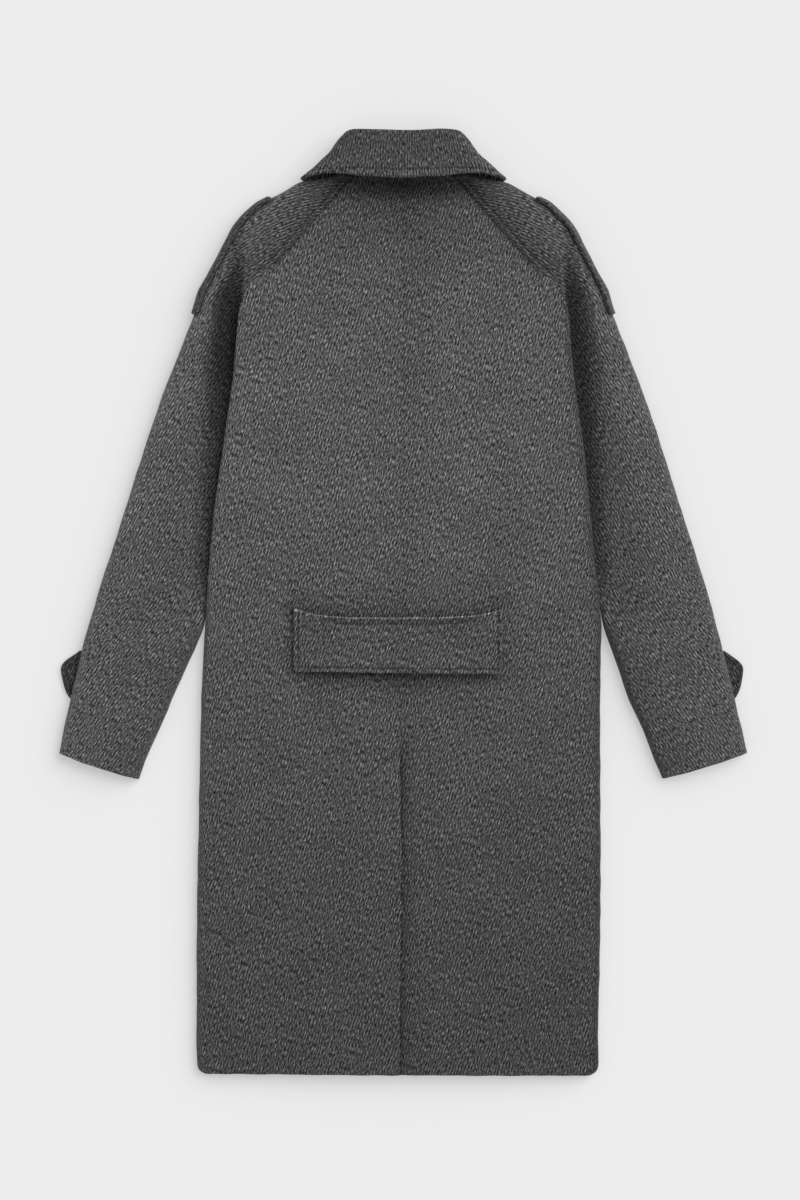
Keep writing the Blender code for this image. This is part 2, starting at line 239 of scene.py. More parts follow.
def wool(name):
    """Brushed wool with the grain, tone and sewn lines of each piece."""
    material, shader, start = new_finish(name)
    grain = start.node("ShaderNodeAttribute", {"attribute_name": "grain"}, {}, output="Vector")
    tone = start.node("ShaderNodeAttribute", {"attribute_name": "tone"}, {}, output="Fac")
    sewn = start.node("ShaderNodeAttribute", {"attribute_name": "sewn"}, {}, output="Vector")
    sway = soft_noise(grain, SWAY_SIZE, SWAY_DETAIL)
    shift = start.node("ShaderNodeCombineXYZ", {}, {"Y": (sway - NOISE_MEAN) * (2 * SWAY)})
    bent = start.node("ShaderNodeVectorMath", {"operation": "ADD"}, {0: grain, 1: shift})
    across = start.node("ShaderNodeSeparateXYZ", {}, {"Vector": grain}, output="Y")
    ribs = start.math("SINE", across * (math.tau / RIB_PITCH) + sway * RIB_SWAY)
    dashes = stretched_noise(bent, DASH_LONG, DASH_WIDE)
    hairs = stretched_noise(bent, HAIR_LONG, HAIR_WIDE)
    clouds = soft_noise(grain, CLOUD_SIZE, CLOUD_DETAIL)
    nap = DASH_SHARE * dashes + HAIR_SHARE * hairs + RIB_SHARE * ribs
    lightness = nap + CLOUD_SHARE * (clouds - NOISE_MEAN)
    ramp = start.node("ShaderNodeValToRGB", {"stops": WOOL_STOPS}, {"Fac": lightness})
    distances = [start.node("ShaderNodeSeparateXYZ", {}, {"Vector": sewn}, output=axis) for axis in "XYZ"]
    widths = (SEAM_LINE, STITCH_LINE, WELT_LINE)
    seam, stitch, welt = (line_at(distance, width) for distance, width in zip(distances, widths))
    # the welt's line is a painted highlight
    lines = (1 - SEAM_DARK * seam) * (1 - STITCH_DARK * stitch) * (1 + WELT_PAINTED_HIGHLIGHT * welt)
    colour = start.node("ShaderNodeVectorMath", {"operation": "SCALE"}, {0: ramp, "Scale": tone * lines})
    bump = start.node("ShaderNodeBump", {}, {"Strength": BUMP_STRENGTH, "Distance": BUMP_HEIGHT,
                                             "Height": nap + welt - seam - stitch})
    start.fill(shader, {"Base Color": colour, "Roughness": ROUGH_GROUND - ROUGH_HAIRS * nap, "Normal": bump,
                        "Specular IOR Level": SPECULAR, "Sheen Weight": SHEEN,
                        "Sheen Roughness": SHEEN_ROUGHNESS})
    return material


charcoal_wool = wool("brushed_charcoal_wool")
print("wool nodes:", len(charcoal_wool.node_tree.nodes))

# %% [markdown]
# ## A cloth skin on a solid
#
# Each solid is a wall of cloth with few, large faces. A copy of it is welded, its triangles are joined
# back into quads, and its long faces are split. Then a Subdivision Surface rounds it. The wall's rims
# would shrink away, so their edges get a crease, below one so that they still turn softly like a folded,
# pressed edge. Sewn and folded pieces need the finest skins, and the fronts, which lie underneath, the
# coarsest.

# %% Finer copies of the solids
WELD = 0.001 * MM
EDGE_ANGLE = math.radians(50)
EDGE_CREASE = 0.88
SPLITS = 3
Skin = namedtuple("Skin", "longest levels")
SKINS = {
    "front": Skin(32.0, 1),
    "sleeve_front": Skin(32.0, 1),
    "back": Skin(60.0, 3),
    "sleeve_back": Skin(36.0, 3),
    "epaulette": Skin(14.0, 2),
    "cuff_tab": Skin(14.0, 2),
    "collar": Skin(14.0, 2),
    "half_belt": Skin(14.0, 3),
}

pieces = {}


def kind_of(node):
    """A node's name without its side."""
    return node.removesuffix("_left").removesuffix("_right")


def side_of(node):
    """-1 for a piece of the left side and 1 for one of the right."""
    return SIDES[node.rpartition("_")[2]]


def mesh_object(name, shape):
    """A new object with the shape of a bmesh, which is freed."""
    mesh = bpy.data.meshes.new(name)
    shape.to_mesh(mesh)
    shape.free()
    return add_object(name, mesh)


def fine_copy(node, skin):
    """A new piece with a finer skin on a node's form."""
    shape = bmesh.new()
    shape.from_mesh(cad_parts[node].data)
    bmesh.ops.remove_doubles(shape, verts=shape.verts, dist=WELD)
    bmesh.ops.join_triangles(shape, faces=shape.faces, angle_face_threshold=EDGE_ANGLE,
                             angle_shape_threshold=math.pi)
    for _ in range(SPLITS):
        long_edges = [edge for edge in shape.edges if edge.calc_length() > skin.longest * MM]
        bmesh.ops.subdivide_edges(shape, edges=long_edges, cuts=1, use_grid_fill=True)
    crease = shape.edges.layers.float.new("crease_edge")
    for edge in shape.edges:
        if len(edge.link_faces) == 2 and edge.calc_face_angle() > EDGE_ANGLE:
            edge[crease] = EDGE_CREASE
    piece = mesh_object(node + "_cloth", shape)
    rounding = piece.modifiers.new("Rounding", "SUBSURF")
    rounding.levels = rounding.render_levels = skin.levels
    drawn = piece.evaluated_get(bpy.context.evaluated_depsgraph_get())
    piece.data = bpy.data.meshes.new_from_object(drawn)
    piece.modifiers.clear()
    piece.data.shade_smooth()
    pieces[node] = piece


print("skins for", len(SKINS), "kinds of piece")

# %% Copy every solid
def read_rows(items, name):
    """A vector of each of a mesh's items, one row each."""
    flat = np.empty(len(items) * 3)
    items.foreach_get(name, flat)
    return flat.reshape(-1, 3)


def read_points(node):
    """A piece's points in millimetres."""
    return read_rows(pieces[node].data.vertices, "co") / MM


def write_points(node, points):
    """Puts points in millimetres back into a piece."""
    pieces[node].data.vertices.foreach_set("co", (points * MM).ravel())
    pieces[node].data.update()


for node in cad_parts:
    fine_copy(node, SKINS[kind_of(node)])
print({node: len(piece.data.polygons) for node, piece in pieces.items()})

# %% [markdown]
# ## The outline
#
# The solids are plain and even on both sides. A coat that somebody laid down by hand isn't: a shoulder
# stands out, a collar's side curves in, a hem swings a little to one side. Each row below moves the cloth
# near a place by a few millimetres, and the move fades with distance, so that pieces that lie on each
# other move together. Rows of the first two tables are for the right side and are mirrored for the left.
# The collar's tips are also pinched, because they end in a point.

# %% Small moves of the outline
Nudge = namedtuple("Nudge", "x y reach move_x move_y")
SHOULDER = (
    Nudge(207, 482, 38, 4.4, 5.2),
    Nudge(140, 527, 36, 2.4, 5.4),
    Nudge(262, 394, 15, 2.6, 0.9),
    Nudge(95, 505, 48, -2.6, -2.3),
    Nudge(150, 445, 48, -2.6, -2.3),
    Nudge(128, 528, 14, 0.6, 2.6),
    Nudge(178, 508, 30, 1.2, 1.2),
)
COLLAR_SIDE = (
    Nudge(96, 570, 17, -2.2, -2),
    Nudge(118, 549, 8, 2.4, 0),
    Nudge(124, 541, 10, 3.6, 0),
    Nudge(0, 598, 45, 0, -1.2),
    Nudge(70, 598, 20, 0, -1.2),
    Nudge(0, 536, 26, 0, -1.9),
    Nudge(48, 536, 26, 0, -3.8),
)
SKIRT = (
    Nudge(262, -420, 190, 2.6, 0),
    Nudge(250, -600, 30, 2.4, 0),
    Nudge(-258, -460, 180, -2, 0),
    Nudge(-200, -600, 110, 0, 1.2),
    Nudge(200, -600, 110, 0, -1),
)
VENT = (
    Nudge(-7, -330, 75, 3.6, 0),
    Nudge(-8, -470, 75, 3.6, 0),
    Nudge(-8, -600, 70, 3.2, 0),
)
SLEEVES = (
    Nudge(-392, 0, 60, -2.4, 0.8),
    Nudge(-318, 230, 90, -1.6, 0.4),
    Nudge(-425, -130, 60, -2, 0.6),
    Nudge(-405, -60, 35, -2, 0),
    Nudge(310, 230, 90, 1.2, 0),
    Nudge(392, 0, 60, 1.2, 0),
    Nudge(-295, -120, 45, -3, 0),
    Nudge(-328, -200, 45, -4.4, 0),
    Nudge(-386, -214, 60, 0, -4.5),
    Nudge(295, -120, 45, -4.7, 0),
    Nudge(328, -205, 45, -4.7, 0),
    Nudge(386, -214, 60, 0, -3),
)
CUFF_TAB_LEFT = (Nudge(-432.0, -86.0, 40.0, -1.4, 0.0),)
BELT_CORNER = (Nudge(-138.0, -9.0, 8.0, 0.0, 5.5),)
LOWER_FOLDS = (Nudge(-238.0, 85.0, 85.0, -2.2, 0.0), Nudge(238.0, 85.0, 85.0, -1.2, 0.0))
Pinch = namedtuple("Pinch", "x y reach share")
COLLAR_TIP = Pinch(124.0, 537.5, 15.0, 0.45)
print("moves:", sum(map(len, (SHOULDER, COLLAR_SIDE, SKIRT, VENT, SLEEVES))))

# %% Move the outline
def nudged(points, table, side=1.0):
    """Points, in rows that start with x and y, moved by a table's rows."""
    moved = np.array(points, float)
    x, y = np.array(points, float)[:, :2].T
    for row in table:
        near = np.exp(-((x - side * row.x) ** 2 + (y - row.y) ** 2) / row.reach ** 2)
        moved[:, 0] += side * row.move_x * near
        moved[:, 1] += row.move_y * near
    return moved


def nudge(kinds, table, side=1.0):
    """Moves each piece of some kinds by a table's rows."""
    for node in pieces:
        if kind_of(node) in kinds:
            write_points(node, nudged(read_points(node), table, side))


def pinch(node, row, side):
    """Draws a piece together in y near a place, which sharpens a corner."""
    points = read_points(node)
    x, y = points[:, 0] - side * row.x, points[:, 1] - row.y
    points[:, 1] -= row.share * y * np.exp(-(x ** 2 + y ** 2) / row.reach ** 2)
    write_points(node, points)


for side in SIDES.values():
    nudge(("sleeve_back", "sleeve_front", "epaulette", "back"), SHOULDER, side)
    nudge(("collar",), COLLAR_SIDE, side)
    pinch("collar", COLLAR_TIP, side)
nudge(("back", "front"), SKIRT)
nudge(("back",), VENT)
nudge(("sleeve_back", "sleeve_front", "cuff_tab"), SLEEVES)
nudge(("cuff_tab",), CUFF_TAB_LEFT)
nudge(("half_belt",), BELT_CORNER)
nudge(("back", "sleeve_back"), LOWER_FOLDS)
print("moved the outline of", len(pieces), "pieces")

# %% [markdown]
# A cut edge of soft wool is never ruled either. A slow noise moves all cloth by a fraction of a millimetre
# in plan. It depends on the place alone, so that two pieces that meet stay together.

# %% Edges that wander a little
WANDER = 0.8
WANDER_SIZE = 22.0
WANDER_SEED = 7  # the same edges each run


def wander(points):
    """Points moved in plan by a slow noise."""
    moves = [noise.noise_vector((x / WANDER_SIZE, y / WANDER_SIZE, 0.0)) for x, y, _ in points]
    return points + np.array(moves) * (WANDER, WANDER, 0.0)


for node in pieces:
    noise.seed_set(WANDER_SEED)
    write_points(node, wander(read_points(node)))
print("edges wander by up to %.1f mm" % WANDER)

# %% [markdown]
# ## Where the back folds over the sleeves
#
# Laid flat, the sleeves drop away beside the body: the back's edge rolls over, and the sleeve dips under
# it in a deep soft trough, dark from the shoulder to the armpit. A table gives the line of that fold, with
# the height of its seam and of the roll above it, and the trough in the sleeve beside it: its depth, the
# width of its floor and its whole reach. Both pieces are drawn in a little at the fold. Then the roll is
# pushed out over the sleeve, most at its middle height, and the sleeve is pressed down.

# %% The fold beside the body
Fold = namedtuple("Fold", "y x seam brow dip floor reach")
FOLD = (
    Fold(-31, 250.5, 5, 16, 0.5, 2, 14),
    Fold(47, 243.5, 11.5, 19.5, 4.5, 4, 24),
    Fold(193, 228, 12, 20.5, 6.2, 8, 33),
    Fold(307, 212, 12.5, 21.5, 6.8, 16, 40),
    Fold(387, 206, 19, 22.5, 9, 14, 36),
    Fold(425, 204.5, 21, 23, 5.2, 7, 20),
    Fold(455, 205, 22, 23, 2.6, 5, 16),
    Fold(495, 207, 22, 23, 0, 5, 16),
)
DRAWN_IN = 2.6  # how far the cloth is drawn in at the fold
DRAWN_REACH = 16.0
OVERHANG = 2.8
OVERHANG_END = 405.0  # height of the coat above which nothing overhangs
OVERHANG_FADE = 30.0
ROLL_REACH = 14.0  # how far in from the fold the roll is pushed out
DIP_START = -4.0  # where the trough starts, on the body's side of the fold
DEEP_SHARE = 0.6  # share of the deepest trough from which its painted shade is full
DEEP = DEEP_SHARE * max(row.dip for row in FOLD)
# the depth from which the trough's painted shade is full
print("trough fully pressed from a depth of %.1f mm" % DEEP)

# %% Soft steps, and the fold at any height
def ease(share):
    """A soft step from 0 to 1."""
    share = np.clip(share, 0.0, 1.0)
    return share * share * (3.0 - 2.0 * share)


def bell(distance, width):
    """1 at no distance, and falling softly to 0."""
    return np.exp(-(distance / width) ** 2)


def plateau(distance, width):
    """Like a bell, but flat in the middle and steep at its sides."""
    return np.exp(-(distance / width) ** 4)


def fold_at(y):
    """The row of the fold table at each height y of the coat."""
    rows = np.array(FOLD)
    return Fold(*(np.interp(y, rows[:, 0], column) for column in rows.T))


def along_fold(y):
    """1 along the fold, 0 above and below it."""
    return ease((y - FOLD[0].y) / (FOLD[1].y - FOLD[0].y)) * ease((OVERHANG_END - y) / OVERHANG_FADE)


def trough(points, wider=0.0):
    """Depth of the trough beside the fold, and its share of the full depth there."""
    row = fold_at(points[:, 1])
    out = np.abs(points[:, 0]) - row.x
    inner = ease((out - DIP_START) / -DIP_START)
    outer = 1 - ease((out - row.floor - wider) / (row.reach - row.floor))
    share = inner * outer * (points[:, 1] > FOLD[0].y)
    return row.dip * share, share


print("the fold ends %.0f mm from the middle" % FOLD[0].x)

# %% Press the fold
def draw_in(points):
    """Draws the cloth in towards the body at the fold."""
    x, y, _ = points.T
    x -= np.sign(x) * DRAWN_IN * along_fold(y) * bell(np.abs(x) - fold_at(y).x, DRAWN_REACH)


def push_roll(points):
    """Pushes the roll of a back panel out over the sleeve."""
    x, y, z = points.T
    row = fold_at(y)
    height = np.clip((z - row.seam) / (row.brow - row.seam), 0, 1)
    near = np.clip(1 + (np.abs(x) - row.x) / ROLL_REACH, 0, 1)
    x += np.sign(x) * OVERHANG * along_fold(y) * near * np.sin(np.pi * height)


for word in SIDES:
    points = read_points("back_" + word)
    draw_in(points)
    push_roll(points)
    write_points("back_" + word, points)
    points = read_points("sleeve_back_" + word)
    draw_in(points)
    points[:, 2] -= trough(points)[0]
    write_points("sleeve_back_" + word, points)
print("fold pressed from y = %.0f to %.0f mm" % (FOLD[0].y, FOLD[-1].y))

# %% [markdown]
# ## Under the collar
#
# The collar's fall stands well off the back, which hollows towards the neck seam below it. That hollow,
# and not the edge alone, makes the wide dark shadow under the collar, and painted shade below the collar
# darkens it further. The back, both sleeves and the collar's stand take the same hollow, so that the neck
# seam and the raglan seams stay closed.

# %% The hollow at the neck
HOLLOW = 10.0
HOLLOW_Y = 537.0
HOLLOW_LENGTH = 33.0
HOLLOW_WIDTH = 98.0
STAND_LOW = 13.0  # the collar's stand behind the neck lies between these heights
STAND_TOP = 27.0
STAND_EASE = 4.0
STAND_SIDE = 96.0  # the stand turns to the front here
STAND_TURN = 22.0


def lift(node, height):
    """Raises a piece's points by the heights that a function gives for them."""
    points = read_points(node)
    points[:, 2] += height(points)
    write_points(node, points)


def hollow(points):
    """Share of the hollow's depth at each point."""
    along = bell(points[:, 1] - HOLLOW_Y, HOLLOW_LENGTH)
    return along * plateau(points[:, 0], HOLLOW_WIDTH)


def on_stand(points):
    """1 on the collar's stand behind the neck, 0 on its fall and its front."""
    x, _, z = points.T
    between = ease((z - STAND_LOW) / STAND_EASE) * ease((STAND_TOP - z) / STAND_EASE)
    return between * ease((STAND_SIDE - np.abs(x)) / STAND_TURN)


for node in ("back_left", "back_right", "sleeve_back_left", "sleeve_back_right"):
    lift(node, lambda points: -HOLLOW * hollow(points))
lift("collar", lambda points: -HOLLOW * on_stand(points) * hollow(points))
print("hollow %.0f mm deep" % HOLLOW)

# %% [markdown]
# ## Soft creases
#
# Thick wool doesn't crumple: it keeps a few long, shallow waves. Each row of the table is one, from a
# start to an end, with a sideways bend, a half-width and a height, which is negative for a trough. They
# are given one by one, and no two are alike. The half-belt lies on the back, so it takes the back's waves
# too.

# %% Waves in the back and sleeves
Wave = namedtuple("Wave", "start_x start_y end_x end_y bend width height")
BACK_WAVES = (
    Wave(8, 500, 14, 150, 8, 22, -1.6),
    Wave(95, 290, 175, 80, 14, 34, 1.4),
    Wave(110, 150, 190, 20, -10, 30, -1.6),
    Wave(-185, 120, -120, -20, 10, 28, -1.2),
    Wave(-150, 10, -95, 40, 4, 14, -1.8),
    Wave(60, 40, 140, 8, -6, 14, -1.6),
    Wave(-54, -224, -4, -189, 0, 5, -1.3),
    Wave(-48, -238, -6, -203, 0, 9, 1.5),
    Wave(-210, -260, -150, -560, 16, 40, -1.5),
    Wave(70, -300, 120, -580, -12, 36, 1.3),
    Wave(150, -180, 205, -420, 14, 34, -1.3),
)
SLEEVE_WAVES = {
    "left": (
        Wave(-268, 60, -352, -30, 8, 18, -1.6),
        Wave(-285, 190, -320, 60, -6, 22, 1),
        Wave(-330, -80, -400, -150, 6, 16, -1),
        Wave(-150, 505, -215, 430, 6, 14, 0.9),
    ),
    "right": (
        Wave(262, 90, 350, 10, -9, 20, -1.5),
        Wave(290, 230, 318, 90, 7, 20, 1.1),
        Wave(320, -60, 392, -120, -6, 18, -1.2),
        Wave(145, 508, 205, 445, -5, 15, 0.8),
    ),
}


def wave_height(waves, points):
    """How far the waves lift the cloth at each point."""
    x, y, _ = points.T
    lift = np.zeros_like(x)
    for wave in waves:
        run = np.array((wave.end_x - wave.start_x, wave.end_y - wave.start_y))
        length = np.hypot(*run)
        along = ((x - wave.start_x) * run[0] + (y - wave.start_y) * run[1]) / length ** 2
        along = np.clip(along, 0, 1)
        across = ((y - wave.start_y) * run[0] - (x - wave.start_x) * run[1]) / length
        across -= wave.bend * 4 * along * (1 - along)
        lift += wave.height * np.sin(np.pi * along) * bell(across, wave.width)
    return lift


for node in ("back_left", "back_right", "half_belt"):
    lift(node, lambda points: wave_height(BACK_WAVES, points))
for word, waves in SLEEVE_WAVES.items():
    lift("sleeve_back_" + word, lambda points: wave_height(waves, points))
print("waves:", len(BACK_WAVES) + sum(map(len, SLEEVE_WAVES.values())))

# %% [markdown]
# ## Lines on the cloth
#
# Seams, stitches, nap and shade all need each point's distance from some line. A line is given by a few
# corners and rounded by a curve through them. It is sampled finely, and each point takes its nearest
# sample: that gives its distance along the line and to the line's left.

# %% Distances from a line
LINE_STEP = 2.0
BATCH = 4000  # points that are measured at once, to save memory


def smooth_line(corners):
    """Points about a step apart along a smooth curve through a line's corners."""
    knots = np.array(corners, float)
    last = len(knots) - 1
    fine = []
    for index in range(last):
        before, start = knots[max(index - 1, 0)], knots[index]
        end, after = knots[index + 1], knots[min(index + 2, last)]
        count = max(2, int(np.hypot(*(end - start)) / LINE_STEP))
        for share in np.arange(count) / count:
            square = (2 * before - 5 * start + 4 * end - after) * share ** 2
            cube = (3 * start - before - 3 * end + after) * share ** 3
            fine.append(0.5 * (2 * start + (end - before) * share + square + cube))
    return np.array(fine + [knots[-1]])


def headings(line):
    """Direction of a line at each of its points, and the steps between them."""
    ahead = np.gradient(line, axis=0)
    steps = np.linalg.norm(ahead, axis=1)
    return ahead / steps[:, None], steps


def beside_line(points, corners):
    """Distances along a smooth line and to its left, for points in plan."""
    line = smooth_line(corners)
    ahead, steps = headings(line)
    lengths = np.cumsum(steps) - steps[0]
    plan = points[:, :2]
    batches = np.array_split(plan, len(plan) // BATCH + 1)
    nearest = np.concatenate([((batch[:, None] - line) ** 2).sum(2).argmin(1) for batch in batches])
    away = plan - line[nearest]
    direction = ahead[nearest]
    along = lengths[nearest] + (away * direction).sum(1)
    return along, direction[:, 0] * away[:, 1] - direction[:, 1] * away[:, 0]


def mirrored(points, side):
    """Points of the right or left side as if they were on the right."""
    return points * (side, 1.0, 1.0)


print("a line step is %.0f mm" % LINE_STEP)

# %% [markdown]
# ## Seams
#
# A seam in thick wool pulls the cloth down on both sides, and the row of topstitching beside it makes a
# second, narrower groove. The raglan seam runs from the neck towards the armpit and is lost in the fold.
# It moved with the outline, so its corners are moved by the same rows. The centre seam is plain: it only
# dips, and its two edges meet.

# %% Raglan and centre seams
RAGLAN = nudged(((55.0, 552.0), (114.5, 486.0), (173.5, 420.0), (207.5, 387.0)), SHOULDER)
RAGLAN_STITCH = 7.4  # from the seam to its topstitching, on the sleeve
RAGLAN_END = 205.0  # length of the seam, up to where it is lost
RAGLAN_FADE = 30.0
SEAM_DEPTH = 1.0
SEAM_WIDTH = 2.6
STITCH_DEPTH = 0.7
STITCH_WIDTH = 1.7
PUCKER = 1.2  # soft dip of the cloth on both sides of the seam
PUCKER_WIDTH = 13.0
CENTRE = ((-601.0, -8.3), (-90.0, -2.6), (-31.0, 0.0))
CENTRE_DIP = 0.9
CENTRE_WIDTH = 16.0
CENTRE_CLOSE = 0.24  # how far each edge of the centre seam moves to meet the other
CENTRE_EDGE = 1.0
VENT_TOP = -203.0
VENT_EASE = 30.0


def level(table, y):
    """Values of a table of (y, value) rows at each height of the coat."""
    return np.interp(y, *np.array(table).T)


def raglan_at(points, side):
    """Distance from the raglan seam on the sleeve's side, and how much of the seam is sewn there."""
    along, across = beside_line(mirrored(points, side), RAGLAN)
    return across, ease((RAGLAN_END - along) / RAGLAN_FADE)


def raglan_dent(points, side):
    """Depth of the raglan seam and its topstitching at each point."""
    across, sewn = raglan_at(points, side)
    dent = SEAM_DEPTH * bell(across, SEAM_WIDTH) + STITCH_DEPTH * bell(across - RAGLAN_STITCH, STITCH_WIDTH)
    return sewn * (dent + PUCKER * bell(across - RAGLAN_STITCH / 2, PUCKER_WIDTH))


def centre_at(points):
    """Distance to the right of the centre seam, and how much of it is sewn: it opens into the vent."""
    return points[:, 0] - level(CENTRE, points[:, 1]), ease((points[:, 1] - VENT_TOP) / VENT_EASE)


for word, side in SIDES.items():
    lift("sleeve_back_" + word, lambda points: -raglan_dent(points, side))
    points = read_points("back_" + word)
    out, sewn = centre_at(points)
    points[:, 2] -= raglan_dent(points, side) + CENTRE_DIP * sewn * bell(out, CENTRE_WIDTH)
    points[:, 0] -= side * CENTRE_CLOSE * sewn * bell(out, CENTRE_EDGE)
    write_points("back_" + word, points)
print("raglan topstitching %.1f mm from the seam" % RAGLAN_STITCH)

# %% [markdown]
# The half-belt and the collar are turned and topstitched near their edges. Between the edge and the
# stitches the layers of the seam fill the cloth, so the edge stands up as a rounded welt, and the stitches
# lie in a groove behind it. The belt's top edge sags, flat in the middle, and its welt is thin and sharp
# with a hollow below it. The belt's lower edge stands off the back, most in the middle, and hangs a little
# lower on the right.

# %% Welts of the half-belt and the collar
BELT_LEFT = -139.0
BELT_RIGHT = 125.0
BELT_TOP = -10.0
BELT_SAG = 10.0
BELT_BOTTOM = -90.5
BELT_LIFT = 3.0  # how much further its lower edge stands off in the middle
LIFT_REACH = 26.0
SAG_REACH = 25.0  # how far below the top edge the cloth follows its sag
BELT_TILT = 1.5  # how much lower its bottom edge is at the right end than in the middle
TILT_REACH = 40.0
TOP_ROW = 8.4  # rows of stitches, in from the top, the bottom and the ends
BOTTOM_ROW = 6.3
END_ROW = 5.2
HOLLOW_END = 24.0  # the hollow below the top welt stops this far from the ends
COLLAR_EDGE = ((-122.0, 539.0), (-108.0, 541.5), (-66.0, 541.6), (0.0, 538.4), (66.0, 541.6), (108.0, 541.5),
               (122.0, 539.0))
COLLAR_SEWN = ((-118.0, 546.0), (-66.0, 548.9), (0.0, 547.0), (66.0, 548.9), (118.0, 546.0))
Ridge = namedtuple("Ridge", "height inward width")
TOP_WELT = Ridge(1.4, 0.0, 2.0)
TOP_HOLLOW = Ridge(-1.4, 6.4, 3.2)
BOTTOM_WELT = Ridge(0.7, 2.8, 2.6)
BOTTOM_GROOVE = Ridge(-0.7, BOTTOM_ROW, 1.4)
END_WELT = Ridge(0.5, 2.0, 2.2)
END_GROOVE = Ridge(-0.6, END_ROW, 1.4)
COLLAR_WELT = Ridge(0.5, 3.8, 3.0)
COLLAR_GROOVE = Ridge(-1.0, 0.0, 1.5)
print("half-belt %.0f mm wide" % (BELT_RIGHT - BELT_LEFT))

# %% The half-belt's edges
def belt_share(x):
    """-1 at the belt's left end and 1 at its right end."""
    return (2 * x - BELT_LEFT - BELT_RIGHT) / (BELT_RIGHT - BELT_LEFT)


def belt_top(x):
    """Where the belt's sagging top edge lies."""
    return BELT_TOP - BELT_SAG * (1 - belt_share(x) ** 4)


def belt_margins(points):
    """Distances in from the belt's top, bottom and nearer end."""
    x, y = points[:, 0], points[:, 1]
    bottom = BELT_BOTTOM - BELT_TILT * belt_share(x)
    return belt_top(x) - y, y - bottom, np.minimum(x - BELT_LEFT, BELT_RIGHT - x)


def belt_middle(end):
    """1 in the middle of the belt, 0 near its ends."""
    return ease((end - HOLLOW_END) / HOLLOW_END)


def shape_belt(points):
    """Lowers the belt's top edge to an arc that is flat in the middle, and tilts its bottom edge."""
    share = belt_share(points[:, 0])
    top, bottom, _ = belt_margins(points)
    points[:, 1] -= BELT_SAG * (share ** 2 - share ** 4) * ease(1 - top / SAG_REACH)
    points[:, 1] -= BELT_TILT * share * ease(1 - bottom / TILT_REACH)


print("its top edge sags %.0f mm" % BELT_SAG)

# %% Raise the welts
def ridge(row, inward):
    """Height of a welt, or of a groove if it is negative, at some distances in from an edge."""
    return row.height * bell(inward - row.inward, row.width)


def belt_relief(points):
    """Height of the belt's welts and grooves."""
    top, bottom, end = belt_margins(points)
    relief = ridge(TOP_WELT, top) + ridge(TOP_HOLLOW, top) * belt_middle(end)
    relief += ridge(BOTTOM_WELT, bottom) + ridge(BOTTOM_GROOVE, bottom)
    relief += ridge(END_WELT, end) + ridge(END_GROOVE, end)
    return relief + BELT_LIFT * ease(1 - bottom / LIFT_REACH) * ease(end / LIFT_REACH)


def collar_inward(points):
    """Distance in from the collar's edge."""
    return beside_line(points, COLLAR_EDGE)[1]


def collar_sewn(points):
    """Distance in from the collar's row of stitches, which is straighter than its edge."""
    return beside_line(points, COLLAR_SEWN)[1]


def collar_relief(points):
    """Height of the collar's welt and groove, on the fall only."""
    on_fall = points[:, 2] > STAND_TOP
    return on_fall * (ridge(COLLAR_WELT, collar_inward(points)) + ridge(COLLAR_GROOVE, collar_sewn(points)))


points = read_points("half_belt")
shape_belt(points)
points[:, 2] += belt_relief(points)
write_points("half_belt", points)
lift("collar", collar_relief)
print("welts on the half-belt and the collar")

# %% [markdown]
# ## Grain
#
# A cutter lays each pattern piece along the cloth's grain, so the nap turns with the piece when it is
# sewn. A straight piece only turns its coordinates. A sleeve measures along a bent line through its
# middle. The collar's nap fans out from a point above it. Where the cloth turns down over an edge, plan
# coordinates would smear, so each point is first rolled out: it moves outwards by as much as it lies below
# the coat's top. Only the trough beside the fold is left out, because it turns up again.

# %% Grain of each piece
SLEEVE_LINE = ((386.0, -212.0), (352.0, -105.0), (320.0, -12.0), (305.0, 63.0), (276.0, 203.0),
               (252.0, 309.0), (235.0, 385.0), (205.0, 425.0), (142.0, 488.0), (60.0, 530.0))
SLEEVE_NAP = 17.0  # the nap's angle to the sleeve's line
COLLAR_FAN = (0.0, 830.0)
NAP = {"back_left": 72.0, "back_right": 72.0, "front_left": 108.0, "front_right": 108.0, "half_belt": 70.0,
       "epaulette_left": 40.0, "epaulette_right": 140.0, "cuff_tab_left": 60.0, "cuff_tab_right": 120.0}
COAT_TOP = 22.0  # height from which turned edges are rolled out
TROUGH_MARGIN = 8.0  # how much wider than the trough the cloth is left as it is


def read_normals(node):
    """The way that a piece's surface faces at each point."""
    return read_rows(pieces[node].data.vertex_normals, "vector")


def rolled_out(node):
    """A piece's points in plan, with its turned-down edges laid out flat."""
    points = read_points(node)
    below = np.clip(COAT_TOP - points[:, 2], 0, None)
    if kind_of(node) == "sleeve_back":
        below *= 1 - trough(points, TROUGH_MARGIN)[1]
    return points[:, :2] + read_normals(node)[:, :2] * below[:, None]


def turned(along, across, angle):
    """Distances along and across a nap that lies at an angle to the first axis, in degrees."""
    cosine, sine = math.cos(math.radians(angle)), math.sin(math.radians(angle))
    return along * cosine + across * sine, across * cosine - along * sine


def grain_of(node):
    """Distances along and across the nap of a piece."""
    plan = rolled_out(node)
    if kind_of(node) in ("sleeve_back", "sleeve_front"):
        return turned(*beside_line(plan * (side_of(node), 1.0), SLEEVE_LINE), SLEEVE_NAP)
    if node == "collar":
        x, y = plan[:, 0] - COLLAR_FAN[0], COLLAR_FAN[1] - plan[:, 1]
        radius = np.hypot(x, y)
        return radius, np.arctan2(x, y) * radius.mean()
    return turned(plan[:, 0], plan[:, 1], NAP[node])


print("nap at %.0f degrees on the back" % NAP["back_left"])

